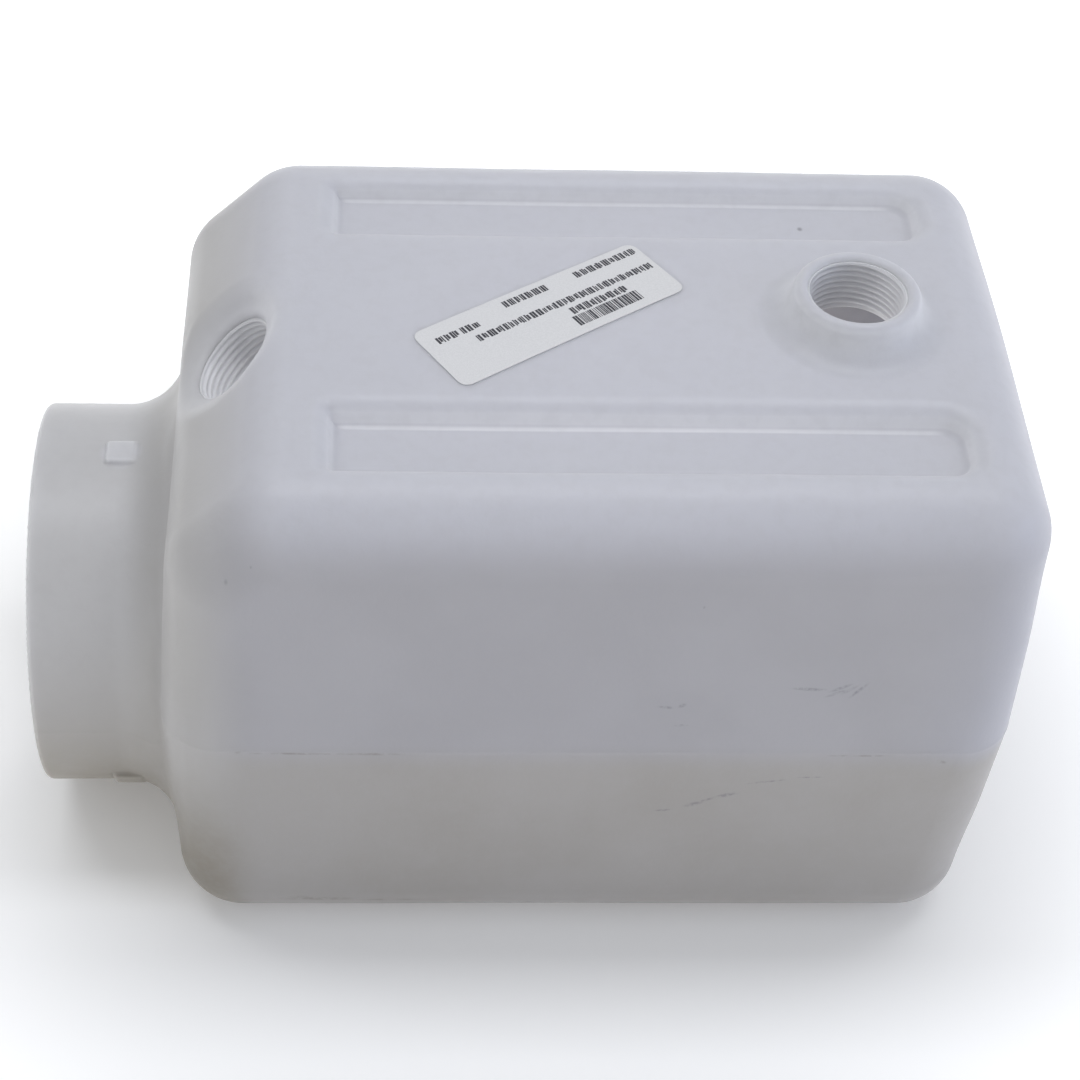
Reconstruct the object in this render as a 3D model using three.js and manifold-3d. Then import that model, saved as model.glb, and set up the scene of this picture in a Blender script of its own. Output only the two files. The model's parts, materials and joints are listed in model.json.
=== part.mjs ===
// Blow-moulded polyethylene fluid reservoir, lying on its side with its two threaded ports up.
// It slides over the round head of a hydraulic power unit by the neck, and both ports take 3/4 inch pipe threads.
//
// Millimetres, +Z up. The neck points towards -X. The origin is the middle of the bounding box in X and Y,
// on the plane that the tank stands on.
import * as THREE from 'three';
import { ConvexGeometry } from 'three/addons/geometries/ConvexGeometry.js';
import { mergeVertices } from 'three/addons/utils/BufferGeometryUtils.js';
import Module from 'manifold-3d';

const wasm = await Module();
wasm.setup();

const INCH = 25.4;
const degrees = THREE.MathUtils.degToRad;

// ---- Driving dimensions ----

const OVERALL_LENGTH = 11 * INCH;   // neck rim to base end, without the pinch-off ridge
const NECK_LENGTH = 39.2;           // neck rim to the body's neck end
const WIDTH = 6.7 * INCH;           // at the parting line
const HEIGHT = 6.7 * INCH;          // underside to the long edges of the top
const CROWN = 1.5;                  // rise of the top face between its long edges
const WALL = 3;
const PARTING_Z = 85;
const PINCH_OFF = 1;                // how far the parison's pinched ridge stands out of the base end
const CLEARANCE = 0.3;              // between touching pieces

// Mould draft: how far each wall leans in between the parting line and its far edge.
const DRAFT = { sideTop: 2.4, sideLow: 1.6, baseTop: 1.6, baseLow: 2.6, neckTop: 3.5, neckLow: 1.5 };
const ROUND = { top: 19.5, low: 19, upright: 17 };
const SHOULDER = { run: 29.2, drop: 24.7 };   // sloping face, from the undrafted neck end and from the top

const NECK = { radius: 57.5, axisZ: 60.5, fillet: 13.5, lip: 1.5 };
const NECK_PAD = { angles: [90, 210, 330], width: 10, proud: 1.5, fromRim: 20, length: 18 };

const PANEL = { depth: 5, wallRun: 3.5, inner: 37, outer: 62, fromNeckEnd: 45.5, length: 173.5,
  squareCorner: 3, roundCorner: 9 };

const THREAD = { majorRadius: 13.2, height: 1.4, pitch: INCH / 14, taper: 1 / 32, turns: 8, leadIn: 0.9 };
const INSERT = { radius: 15.4, length: 17, flangeRadius: 18.2, flangeTop: 11.5, flangeThickness: 2.5 };
const BOSS = { fromNeckEnd: 191.6, rise: 10, radius: 17.7, lip: 2, fillet: 8 };
const SHOULDER_DISH = { depth: 3.5, floor: 16, mouth: 19.5 };   // recess that the shoulder port sits in
const PORT_BACKING = { radius: 21.5, depth: 15 };   // thickened wall that holds an insert

const LABEL = { length: 3 * INCH, width: INCH, thickness: 0.2, corner: 3, fromNeckEnd: 107.5, y: 0.7, turn: 34 };

const SEGMENTS = { neck: 60, port: 32, corner: 6 };

// ---- Derived places ----

const RIM_X = -(OVERALL_LENGTH + PINCH_OFF) / 2;
const NECK_END_X = RIM_X + NECK_LENGTH;
const BASE_END_X = RIM_X + OVERALL_LENGTH;
const TOP_Z = HEIGHT + CROWN;
const BOSS_X = NECK_END_X + BOSS.fromNeckEnd;
const SHOULDER_LEAN = Math.atan2(SHOULDER.drop, SHOULDER.run - DRAFT.neckTop);
const SHOULDER_SOFTENING = Math.tan(Math.PI / 8) * ROUND.top;   // rounding's reach on each side of its edges
const TOP_EDGE_Y = WIDTH / 2 - DRAFT.sideTop - ROUND.top;

// Height of the crowned top face at a distance y from its middle.
function topHeight(y) {
  return HEIGHT + CROWN * (1 - (y / TOP_EDGE_Y) ** 2);
}

// ---- Solids ----

function toSolid(geometry) {
  const bare = geometry.index ? geometry : geometry.clone();
  bare.deleteAttribute('normal');
  bare.deleteAttribute('uv');
  const merged = mergeVertices(bare, 1e-4);
  return new wasm.Manifold(new wasm.Mesh({
    numProp: 3,
    vertProperties: new Float32Array(merged.attributes.position.array),
    triVerts: new Uint32Array(merged.index.array),
  }));
}

function toGeometry(solid) {
  const mesh = solid.getMesh();
  const geometry = new THREE.BufferGeometry();
  geometry.setAttribute('position', new THREE.BufferAttribute(mesh.vertProperties, 3));
  geometry.setIndex(new THREE.BufferAttribute(mesh.triVerts, 1));
  geometry.computeVertexNormals();
  return geometry;
}

function convex(points) {
  return toSolid(new ConvexGeometry(points));
}

// A turned solid. The profile is [radius, height] pairs and may hold arcs; the axis is local Z.
function turned(profile, segments) {
  const points = profile.flat().map(([radius, height]) => new THREE.Vector2(radius, height));
  return new THREE.LatheGeometry(points, segments).rotateX(Math.PI / 2);
}

// Points of an arc in a profile, from one angle to another in degrees.
function arc(centre, radius, from, to, steps) {
  const points = [];
  for (let i = 0; i <= steps; i += 1) {
    const angle = degrees(from + (to - from) * i / steps);
    points.push([centre[0] + radius * Math.cos(angle), centre[1] + radius * Math.sin(angle)]);
  }
  return points;
}

// Points of a quarter-round corner ball that faces away from the body's middle.
function cornerBall(x, y, z, radius, facing) {
  const points = [];
  for (let i = 0; i <= SEGMENTS.corner; i += 1) {
    const lift = Math.PI / 2 * i / SEGMENTS.corner;
    for (let j = 0; j <= SEGMENTS.corner; j += 1) {
      const turn = Math.PI / 2 * j / SEGMENTS.corner;
      points.push(new THREE.Vector3(
        x + facing[0] * radius * Math.cos(lift) * Math.cos(turn),
        y + facing[1] * radius * Math.cos(lift) * Math.sin(turn),
        z + facing[2] * radius * Math.sin(lift),
      ));
    }
  }
  return points;
}

// The body's rounded, drafted block, shrunk by an inset. Its neck end can be moved out for clipping.
function bodyBlock(inset, neckEndX = NECK_END_X) {
  const points = [];
  const top = ROUND.top;
  const low = ROUND.low;
  const upright = ROUND.upright;
  const shoulderTopX = neckEndX + SHOULDER.run + SHOULDER_SOFTENING;
  const shoulderLowZ = HEIGHT - SHOULDER.drop - SHOULDER_SOFTENING;
  for (const side of [-1, 1]) {
    const topY = side * TOP_EDGE_Y;
    const lowY = side * (WIDTH / 2 - DRAFT.sideLow - low);
    const uprightY = side * (WIDTH / 2 - upright);
    points.push(
      ...cornerBall(BASE_END_X - DRAFT.baseLow - low, lowY, low, low - inset, [1, side, -1]),
      ...cornerBall(neckEndX + DRAFT.neckLow + low, lowY, low, low - inset, [-1, side, -1]),
      ...cornerBall(BASE_END_X - upright, uprightY, PARTING_Z, upright - inset, [1, side, 0]),
      ...cornerBall(neckEndX + upright, uprightY, PARTING_Z, upright - inset, [-1, side, 0]),
      ...cornerBall(BASE_END_X - DRAFT.baseTop - top, topY, HEIGHT - top, top - inset, [1, side, 1]),
      ...cornerBall(shoulderTopX, topY, HEIGHT - top, top - inset, [-1, side, 1]),
      ...cornerBall(neckEndX + DRAFT.neckTop + top, topY, shoulderLowZ, top - inset, [-1, side, 1]),
    );
  }
  for (let i = -4; i <= 4; i += 1) {
    const y = TOP_EDGE_Y * i / 4;
    const z = topHeight(y) - inset;
    points.push(new THREE.Vector3(shoulderTopX, y, z));
    points.push(new THREE.Vector3(BASE_END_X - DRAFT.baseTop - ROUND.top, y, z));
  }
  return convex(points);
}

// How far the body's neck end has leaned back from the parting line at a height z: draft, then the low edge's
// rounding.
function neckEndLean(z) {
  if (z > PARTING_Z) {
    const shoulderLowZ = HEIGHT - SHOULDER.drop - SHOULDER_SOFTENING;
    return DRAFT.neckTop * Math.min((z - PARTING_Z) / (shoulderLowZ - PARTING_Z), 1);
  }
  const drafted = DRAFT.neckLow * Math.min((PARTING_Z - z) / (PARTING_Z - ROUND.low), 1);
  const below = Math.min(Math.max(ROUND.low - z, 0), ROUND.low);
  return drafted + ROUND.low - Math.sqrt(ROUND.low ** 2 - below ** 2);
}

// The neck and its flare into the body, as a solid plug grown by an offset (negative for the bore).
// The flare leans back with the face that it runs into.
function neckPlug(offset) {
  const radius = NECK.radius + offset;
  const flareRadius = NECK.radius + NECK.fillet;
  const flareX = NECK_END_X - NECK.fillet;
  const rimX = offset < 0 ? RIM_X - 1 : RIM_X;
  const lip = offset < 0 ? 0.01 : NECK.lip;
  const inside = NECK_END_X + NECK.fillet;
  const geometry = turned([
    [[0, rimX]],
    arc([radius - lip, rimX + lip], lip, -90, 0, 3),
    arc([flareRadius, flareX], NECK.fillet - offset, 180, 90, 6),
    [[flareRadius, inside], [0, inside]],
  ], SEGMENTS.neck);
  geometry.rotateY(Math.PI / 2);
  geometry.translate(0, 0, NECK.axisZ);
  const position = geometry.attributes.position;
  for (let i = 0; i < position.count; i += 1) {
    const along = THREE.MathUtils.clamp((position.getX(i) - flareX) / NECK.fillet, 0, 1);
    position.setX(i, position.getX(i) + along * neckEndLean(position.getZ(i)));
  }
  return toSolid(geometry);
}

// A pad on the neck at an angle round its axis: 90 is the top of the neck.
function neckPad(angle) {
  const depth = 6;
  const pad = new THREE.BoxGeometry(NECK_PAD.length, depth, NECK_PAD.width);
  pad.translate(RIM_X + NECK_PAD.fromRim + NECK_PAD.length / 2, NECK.radius + NECK_PAD.proud - depth / 2, 0);
  pad.rotateX(degrees(angle));
  pad.translate(0, 0, NECK.axisZ);
  return toSolid(pad);
}

// A sunk panel in the top face, with sloping walls. Growing it gives the ridge that it makes inside.
function sunkPanel(side, grow) {
  const points = [];
  const floorZ = HEIGHT - PANEL.depth;
  const middleX = NECK_END_X + PANEL.fromNeckEnd + PANEL.length / 2;
  const middleY = side * (PANEL.inner + PANEL.outer) / 2;
  const addOutline = (spread, z) => {
    const halfX = PANEL.length / 2 + spread;
    const halfY = (PANEL.outer - PANEL.inner) / 2 + spread;
    for (const facingX of [-1, 1]) {
      const corner = Math.max((facingX < 0 ? PANEL.squareCorner : PANEL.roundCorner) + spread, 1);
      for (const facingY of [-1, 1]) {
        for (const [x, y] of arc([halfX - corner, halfY - corner], corner, 0, 90, 3)) {
          points.push(new THREE.Vector3(middleX + facingX * x, middleY + facingY * y, z));
        }
      }
    }
  };
  const slope = PANEL.wallRun / PANEL.depth;
  const above = 4;
  addOutline(grow - PANEL.wallRun, floorZ - grow);
  addOutline(grow + slope * above, HEIGHT + above);
  return convex(points);
}

// The raised boss round the top port, open foot down. Local Z is the port's axis, 0 at the sealing face.
function bossOutside() {
  const { rise, radius, lip, fillet } = BOSS;
  return toSolid(turned([
    [[0, -rise - WALL], [radius + fillet, -rise - WALL]],
    arc([radius + fillet, -rise + fillet], fillet, -90, -180, 4),
    arc([radius - lip, -lip], lip, 0, 90, 3),
    [[0, 0]],
  ], SEGMENTS.port));
}

// The thickened wall behind a port.
function portBacking() {
  const { radius, depth } = PORT_BACKING;
  return toSolid(turned([[[0, -depth], [radius - 1, -depth], [radius, 1 - depth], [radius, 1], [0, 1]]],
    SEGMENTS.port));
}

// Outline of an insert from its inner end to its sealing face, grown by a clearance.
function insertOutline(grow) {
  const { radius, length, flangeRadius, flangeTop, flangeThickness } = INSERT;
  return [
    [radius + grow, -length - grow],
    [radius + grow, -flangeTop - flangeThickness - grow],
    [flangeRadius + grow, -flangeTop - flangeThickness - grow],
    [flangeRadius + grow, -flangeTop + grow],
    [radius + grow, -flangeTop + grow],
    [radius + grow, grow],
  ];
}

// The sloping recess in front of the shoulder port. Local Z is the port's axis, 0 at the recess floor.
function shoulderDish() {
  const { depth, floor, mouth } = SHOULDER_DISH;
  const above = 2 * depth;
  return toSolid(turned([[[0, 0], [floor, 0], [2 * mouth - floor, above], [0, above]]], SEGMENTS.port));
}

function insertPocket() {
  const end = INSERT.length + 2 * CLEARANCE;
  return toSolid(turned([[[0, -end]], insertOutline(CLEARANCE), [[INSERT.radius + CLEARANCE, 1], [0, 1]]],
    SEGMENTS.port));
}

// A threaded sleeve: tapered pipe thread, chamfered mouth, and a flange that locks it into the wall.
function threadedInsert() {
  const { majorRadius, height, pitch, taper, turns, leadIn } = THREAD;
  const bore = [[majorRadius + leadIn / 2, 0]];
  for (let turn = 0; turn < turns; turn += 1) {
    const crest = -leadIn - turn * pitch;
    bore.push([majorRadius - height + crest * taper, crest]);
    bore.push([majorRadius + (crest - pitch / 2) * taper, crest - pitch / 2]);
  }
  bore.push([majorRadius - height - INSERT.length * taper, -leadIn - turns * pitch]);
  bore.push([majorRadius - height - INSERT.length * taper, -INSERT.length]);
  const outline = [...insertOutline(0), ...bore];
  return turned([[...outline, outline[0]]], SEGMENTS.port);
}

const topPortPlace = new THREE.Matrix4().makeTranslation(BOSS_X, 0, TOP_Z + BOSS.rise);
const shoulderPortPlace = new THREE.Matrix4()
  .makeTranslation(NECK_END_X + (SHOULDER.run + DRAFT.neckTop) / 2, 0, HEIGHT - SHOULDER.drop / 2)
  .multiply(new THREE.Matrix4().makeRotationY(-SHOULDER_LEAN))
  .multiply(new THREE.Matrix4().makeTranslation(0, 0, -SHOULDER_DISH.depth));

function place(solid, matrix) {
  return solid.transform(matrix.elements);
}

function tankShell() {
  // Extending the block past its neck end gives the envelope that trims the neck's flare.
  const reach = 2 * NECK.fillet;
  let outside = bodyBlock(0).add(neckPlug(0).intersect(bodyBlock(0, RIM_X - reach)));
  for (const angle of NECK_PAD.angles) {
    outside = outside.add(neckPad(angle));
  }
  const ridge = new THREE.BoxGeometry(6, WIDTH - 2 * ROUND.upright, 1.6);
  ridge.translate(BASE_END_X + PINCH_OFF - 3, 0, PARTING_Z);
  outside = outside.add(toSolid(ridge)).add(place(bossOutside(), topPortPlace));

  let inside = bodyBlock(WALL).add(neckPlug(-WALL).intersect(bodyBlock(WALL, RIM_X - reach)));
  for (const side of [-1, 1]) {
    outside = outside.subtract(sunkPanel(side, 0));
    inside = inside.subtract(sunkPanel(side, WALL));
  }
  outside = outside.subtract(place(shoulderDish(), shoulderPortPlace));
  inside = inside.subtract(place(portBacking(), topPortPlace)).subtract(place(portBacking(), shoulderPortPlace));
  const pockets = place(insertPocket(), topPortPlace).add(place(insertPocket(), shoulderPortPlace));
  return toGeometry(outside.subtract(inside).subtract(pockets));
}

// Paper label, bent to the crowned top face.
function paperLabel() {
  const { length, width, thickness, corner, fromNeckEnd, y, turn } = LABEL;
  const sheet = new THREE.BoxGeometry(length, width, thickness, 12, 6, 1);
  sheet.rotateZ(degrees(turn));
  sheet.translate(NECK_END_X + fromNeckEnd, y, CLEARANCE + thickness / 2);
  const position = sheet.attributes.position;
  for (let i = 0; i < position.count; i += 1) {
    position.setZ(i, position.getZ(i) + topHeight(position.getY(i)));
  }
  const outline = new THREE.Shape();
  const halfLength = length / 2 - corner;
  const halfWidth = width / 2 - corner;
  outline.absarc(halfLength, halfWidth, corner, 0, Math.PI / 2);
  outline.absarc(-halfLength, halfWidth, corner, Math.PI / 2, Math.PI);
  outline.absarc(-halfLength, -halfWidth, corner, Math.PI, 1.5 * Math.PI);
  outline.absarc(halfLength, -halfWidth, corner, 1.5 * Math.PI, 2 * Math.PI);
  const cutter = new THREE.ExtrudeGeometry(outline, { depth: HEIGHT, bevelEnabled: false, curveSegments: 4 });
  cutter.rotateZ(degrees(turn));
  cutter.translate(NECK_END_X + fromNeckEnd, y, HEIGHT / 2);
  return toGeometry(toSolid(sheet).intersect(toSolid(cutter)));
}

// ---- Assembly ----

const polyethylene = new THREE.MeshStandardMaterial({ color: 0xd5d8df, roughness: 0.42, metalness: 0 });
const portPolyethylene = new THREE.MeshStandardMaterial({ color: 0xcfd3d6, roughness: 0.4, metalness: 0 });
const paper = new THREE.MeshStandardMaterial({ color: 0xf3f4f6, roughness: 0.6, metalness: 0 });

function part(name, geometry, material, matrix = new THREE.Matrix4()) {
  const mesh = new THREE.Mesh(geometry, material);
  mesh.name = name;
  mesh.applyMatrix4(matrix);
  return mesh;
}

const reservoir = new THREE.Group();
reservoir.add(
  part('tank_shell', tankShell(), polyethylene),
  part('top_port_insert', threadedInsert(), portPolyethylene, topPortPlace),
  part('shoulder_port_insert', threadedInsert(), portPolyethylene, shoulderPortPlace),
  part('label', paperLabel(), paper),
);

export default reservoir;
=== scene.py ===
import math

import bpy
import numpy as np
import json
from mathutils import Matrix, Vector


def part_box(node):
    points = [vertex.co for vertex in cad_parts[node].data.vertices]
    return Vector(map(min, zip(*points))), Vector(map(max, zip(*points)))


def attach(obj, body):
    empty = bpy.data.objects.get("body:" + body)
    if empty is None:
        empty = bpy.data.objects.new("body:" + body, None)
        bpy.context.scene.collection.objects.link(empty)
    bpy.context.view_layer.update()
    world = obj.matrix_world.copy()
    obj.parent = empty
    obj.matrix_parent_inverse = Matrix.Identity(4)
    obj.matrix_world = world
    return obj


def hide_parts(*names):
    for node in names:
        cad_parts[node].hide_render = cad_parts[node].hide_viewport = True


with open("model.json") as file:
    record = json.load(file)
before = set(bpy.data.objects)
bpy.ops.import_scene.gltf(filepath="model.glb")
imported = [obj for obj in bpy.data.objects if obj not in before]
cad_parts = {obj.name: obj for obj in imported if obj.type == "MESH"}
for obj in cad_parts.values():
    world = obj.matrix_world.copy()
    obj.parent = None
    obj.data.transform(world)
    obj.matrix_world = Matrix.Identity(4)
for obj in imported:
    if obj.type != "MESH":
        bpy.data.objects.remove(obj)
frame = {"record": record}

import openvdb
from mathutils import Matrix, Vector

MM = 0.001
RANDOM = np.random.default_rng(7)
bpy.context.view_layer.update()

# ---- Places, from the frame ----

TANK_LOW, TANK_HIGH = (np.array(corner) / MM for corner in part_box("tank_shell"))
MOUNTS = {mount["name"]: mount for mount in frame["record"]["mounts"]}


def port_axis(mount_name):
    """The direction that a port opens in, as a unit vector."""
    axis = np.array(MOUNTS[mount_name]["axis"], float)
    return axis / np.linalg.norm(axis)


def insert_face(node, axis):
    """Centre of an insert's outer end face: the insert's middle, moved half its length along its axis."""
    low, high = (np.array(corner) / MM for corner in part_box(node))
    return (low + high) / 2 + axis * INSERT["length"] / 2


# ---- Driving dimensions, millimetres ----

PINCH = {"proud": 1.0, "half_thickness": 0.8, "half_width": 66, "round": 0.4, "root": 6, "fillet": 0.9}
RIM_X = TANK_LOW[0]
NECK_END_X = RIM_X + 39.2
BASE_END_X = TANK_HIGH[0] - PINCH["proud"]
HALF_WIDTH = TANK_HIGH[1]
HEIGHT = 2 * HALF_WIDTH
CROWN = {"rise": 1.5, "half": 78.0}
WALL = 3.0
MOUTH_EDGE = 0.5
WAVE = 0.07
PARTING_Z = 85.0
PARTING = {"ridge": 0.08, "half_width": 0.7, "neck_side": (60, 80), "neck_end": (2, 12)}
DRAFT = {"side_top": 2.4 / 65.7, "side_low": 1.6 / 66, "base_top": 1.6 / 65.7, "base_low": 2.6 / 66,
         "neck_top": 3.5 / 52.5, "neck_low": 1.5 / 66}
ROUND = {"profile": 19.2, "upright": 17.0, "long": 19.4, "change": (30, 62)}
SHOULDER = {"run": 29.2, "drop": 24.7}
NECK = {"radius": 57.5, "axis_z": 60.5, "fillet": 16.5, "lip": 1.5, "overlap": 12, "end_round": 1.0,
        "envelope_round": 3.0}
PAD = {"angles": (90, 210, 330), "half_width": 4.4, "proud": 1.3, "from_rim": 20.8, "length": 9.0,
       "corner": 1.0, "edge": 0.9, "root": 2, "fillet": 0.6}
PANEL = {"depth": 5.0, "wall_run": 3.5, "inner": 37.0, "outer": 62.0, "from_neck_end": 45.5,
         "length": 173.5, "square_corner": 3.0, "round_corner": 9.0, "corner_change": 20,
         "foot_round": 1.1, "edge_round": 2.4}
BOSS = {"radius": 17.7, "lip": 2.6, "fillet": 9.0, "root": 40}
PORT_DEPTH = 25
MOUTH = {"radius": 13.6, "depth": 2.3, "round": 2.1, "sleeve_depth": 1.5}
DISH = {"depth": 3.5, "floor": 16.0, "mouth": 19.5, "foot_round": 2.0, "edge_round": 3.4}
BACKING = {"radius": 21.5, "depth": 15.0, "margin": 1, "round": 3.0, "fillet": 2.0}
INSERT = {"radius": 15.4, "length": 17.0, "flange_radius": 18.2, "flange_top": 11.5,
          "flange_thickness": 2.5, "bevel": 0.4, "clearance": 0.02}
THREAD = {"major": 13.3, "height": 0.42, "pitch": 25.4 / 14, "taper": 1 / 32, "ring_step": 0.13,
          "run_in": 0.8, "run_out": (1.8, 0.4)}
LABEL = {"length": 76.2, "width": 25.4, "corner": 3.0, "turn": 34.0, "thickness": 0.12, "lift": 0.03}
PRINT = {"thickness": 0.03, "sunk": 0.01}
MOST_TRIANGLES = 185000

UP = np.array([0.0, 0.0, 1.0])
SHOULDER_AXIS = port_axis("shoulder_port_face")
TOP_PORT = insert_face("top_port_insert", UP)
SHOULDER_PORT = np.array(MOUNTS["shoulder_port_face"]["pos_m"]) / MM * np.array([1, 0, 1])


# ---- Field tools ----

def both(a, b, radius):
    """Where two fields overlap, with the edge between them rounded."""
    corner = np.hypot(np.maximum(a + radius, 0), np.maximum(b + radius, 0))
    return np.minimum(np.maximum(a, b), -radius) + corner


def either(a, b, radius):
    """Two fields joined, with a fillet between them."""
    return -both(-a, -b, radius)


def smooth_step(value, low, high):
    t = np.clip((value - low) / (high - low), 0, 1)
    return t * t * (3 - 2 * t)


def inset_outline(corners, distance):
    """A convex outline, listed anticlockwise, moved inwards."""
    corners = np.array(corners, float)
    edges = np.roll(corners, -1, 0) - corners
    normals = np.stack([-edges[:, 1], edges[:, 0]], 1) / np.linalg.norm(edges, axis=1)[:, None]
    offsets = (normals * corners).sum(1) + distance
    moved = []
    for i in range(len(corners)):
        pair = [i - 1, i]
        moved.append(np.linalg.solve(normals[pair], offsets[pair]))
    return np.array(moved)


def outline_distance(u, v, corners):
    """Signed distance to a convex outline, listed anticlockwise."""
    nearest = None
    beyond = None
    for start, end in zip(corners, np.roll(corners, -1, 0)):
        edge = end - start
        du = u - start[0]
        dv = v - start[1]
        t = np.clip((du * edge[0] + dv * edge[1]) / (edge @ edge), 0, 1)
        squared = (du - t * edge[0]) ** 2 + (dv - t * edge[1]) ** 2
        out = (du * edge[1] - dv * edge[0]) / math.hypot(*edge)
        nearest = squared if nearest is None else np.minimum(nearest, squared)
        beyond = out if beyond is None else np.maximum(beyond, out)
    return np.where(beyond > 0, np.sqrt(nearest), beyond)


# ---- The tank's field ----

SIDE_OUTLINE = inset_outline([
    (NECK_END_X + DRAFT["neck_low"] * PARTING_Z, 0),
    (BASE_END_X - DRAFT["base_low"] * PARTING_Z, 0),
    (BASE_END_X, PARTING_Z),
    (BASE_END_X - DRAFT["base_top"] * (HEIGHT - PARTING_Z), HEIGHT),
    (NECK_END_X + SHOULDER["run"], HEIGHT),
    (NECK_END_X + DRAFT["neck_top"] * (HEIGHT - SHOULDER["drop"] - PARTING_Z), HEIGHT - SHOULDER["drop"]),
    (NECK_END_X, PARTING_Z),
], ROUND["profile"])


def crown(y):
    return CROWN["rise"] * np.cos(np.pi / 2 * np.clip(y / CROWN["half"], -1, 1)) ** 2


def side_distance(y, z):
    lean = np.where(z > PARTING_Z, (z - PARTING_Z) * DRAFT["side_top"], (PARTING_Z - z) * DRAFT["side_low"])
    return np.abs(y) - HALF_WIDTH + lean


def waviness(x, y, z):
    """The slight unevenness of a wall that cooled against the mould, tenths of a millimetre."""
    return WAVE * (np.sin(x / 17.0 + np.sin(z / 23.0) + 0.7) + np.sin(y / 14.0 + x / 41.0)
                   + np.sin(z / 19.0 + y / 31.0 + 1.9))


def body(x, y, z):
    """The drafted, crowned box with its sloping shoulder."""
    lifted = z - crown(y) * smooth_step(z, PARTING_Z, HEIGHT)
    profile = outline_distance(x, lifted, SIDE_OUTLINE) - ROUND["profile"]
    to_long_edge = smooth_step(np.abs(z - PARTING_Z), *ROUND["change"])
    radius = ROUND["upright"] + (ROUND["long"] - ROUND["upright"]) * to_long_edge
    return both(profile, side_distance(y, z), radius)


def sunk_panel(x, y, z):
    """The hollows of both panels: square corners at the neck's end, rounder ones at the base end."""
    across = np.abs(y) - (PANEL["inner"] + PANEL["outer"]) / 2
    along = x - (NECK_END_X + PANEL["from_neck_end"] + PANEL["length"] / 2)
    mix = smooth_step(along, -PANEL["corner_change"], PANEL["corner_change"])
    corner = PANEL["square_corner"] + (PANEL["round_corner"] - PANEL["square_corner"]) * mix
    half_width = (PANEL["outer"] - PANEL["inner"]) / 2
    outline = both(np.abs(along) - PANEL["length"] / 2, np.abs(across) - half_width, corner)
    slope = PANEL["wall_run"] / PANEL["depth"]
    wall = (outline + (HEIGHT - z) * slope) / math.hypot(1, slope)
    return both(wall, HEIGHT - PANEL["depth"] - z, PANEL["foot_round"])


def neck(x, y, z):
    radial = np.hypot(y, z - NECK["axis_z"]) - NECK["radius"]
    return both(radial, x - NECK_END_X - NECK["overlap"], NECK["end_round"])


def plain_tank(x, y, z):
    """The body and neck without small features, closed, and running on past the rim."""
    block = body(x, y, z)
    joined = either(block, neck(x, y, z), NECK["fillet"])
    envelope = both(-z, side_distance(y, z), ROUND["long"])
    joined = np.minimum(block, both(joined, envelope, NECK["envelope_round"]))
    return both(joined, -sunk_panel(x, y, z), PANEL["edge_round"]) + waviness(x, y, z)


def about_axis(x, y, z, centre, axis):
    """Distance from an axis in the XZ plane, and height along it from its centre."""
    height = (x - centre[0]) * axis[0] + (z - centre[2]) * axis[2]
    across = (x - centre[0]) * axis[2] - (z - centre[2]) * axis[0]
    return np.hypot(across, y - centre[1]), height


def neck_pad(x, y, z, degrees):
    """A small rectangular pad on the neck, at an angle round its axis."""
    angle = math.radians(degrees)
    up = z - NECK["axis_z"]
    outwards = y * math.cos(angle) + up * math.sin(angle) - NECK["radius"]
    across = np.abs(up * math.cos(angle) - y * math.sin(angle)) - PAD["half_width"]
    along = np.abs(x - RIM_X - PAD["from_rim"] - PAD["length"] / 2) - PAD["length"] / 2
    block = both(both(across, along, PAD["corner"]), outwards - PAD["proud"], PAD["edge"])
    return np.maximum(block, -outwards - PAD["root"])


def parting_height(x, y):
    """Height of the parting line: level round the body, dropping to the neck's middle."""
    near, far = PARTING["neck_end"]
    on_neck = 1 - smooth_step(np.abs(y), *PARTING["neck_side"])
    on_neck = on_neck * (1 - smooth_step(x, NECK_END_X + near, NECK_END_X + far))
    return PARTING_Z + (NECK["axis_z"] - PARTING_Z) * on_neck


def outside(x, y, z):
    """The outer skin, filled."""
    skin = plain_tank(x, y, z)
    rho, height = about_axis(x, y, z, TOP_PORT, UP)
    boss = both(rho - BOSS["radius"], height, BOSS["lip"])
    skin = either(skin, np.maximum(boss, -height - BOSS["root"]), BOSS["fillet"])
    rho, height = about_axis(x, y, z, SHOULDER_PORT, SHOULDER_AXIS)
    slope = (DISH["mouth"] - DISH["floor"]) / DISH["depth"]
    dish = both((rho - DISH["floor"] - height * slope) / math.hypot(1, slope), -height, DISH["foot_round"])
    skin = both(skin, -dish, DISH["edge_round"])
    for degrees in PAD["angles"]:
        skin = either(skin, neck_pad(x, y, z, degrees), PAD["fillet"])
    from_parting = (z - parting_height(x, y)) / PARTING["half_width"]
    skin = skin - PARTING["ridge"] * np.exp(-from_parting ** 2)
    above = np.abs(z - PARTING_Z) - PINCH["half_thickness"]
    ridge = both(above, x - BASE_END_X - PINCH["proud"], PINCH["round"])
    ridge = both(ridge, np.abs(y) - PINCH["half_width"], PINCH["round"])
    skin = either(skin, np.maximum(ridge, BASE_END_X - PINCH["root"] - x), PINCH["fillet"])
    return both(skin, RIM_X - x, NECK["lip"])


def port_mouth(x, y, z, centre, axis):
    """The round hole through a port and the wall behind it."""
    rho, height = about_axis(x, y, z, centre, axis)
    return np.maximum(rho - MOUTH["radius"], -height - PORT_DEPTH)


def port_pocket(x, y, z, centre, axis):
    """The room below the lip that a sleeve fills."""
    rho, height = about_axis(x, y, z, centre, axis)
    below_lip = np.maximum(rho - INSERT["radius"] - INSERT["clearance"], height + MOUTH["depth"])
    return np.maximum(below_lip, -height - PORT_DEPTH)


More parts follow.
